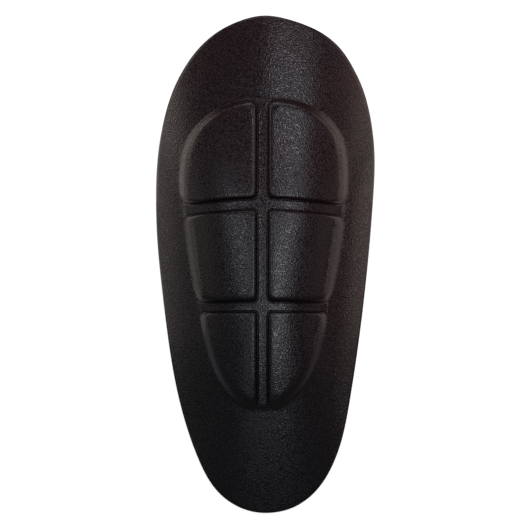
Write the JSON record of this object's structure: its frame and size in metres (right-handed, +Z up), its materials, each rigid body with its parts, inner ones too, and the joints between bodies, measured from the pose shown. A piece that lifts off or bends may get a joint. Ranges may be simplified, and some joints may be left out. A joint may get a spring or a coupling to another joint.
{
  "type": "hip pad",
  "caption": "Long oval moulded foam hip pad, cupped across its width, with raised rounded pods in two columns parted by shallow channels and a plain rim.",
  "frame": {"origin": "middle of the pad's plan box on the floor that the side rims rest on", "axes": "+X across the pad's width, +Y towards its broad end, +Z up out of the convex face with the pods"},
  "size_m": [0.106, 0.24, 0.0275],
  "materials": {
    "foam": "satin, fine leather-like grain"
  },
  "bodies": {
    "root": {"pad": "foam"}
  },
  "joints": []
}
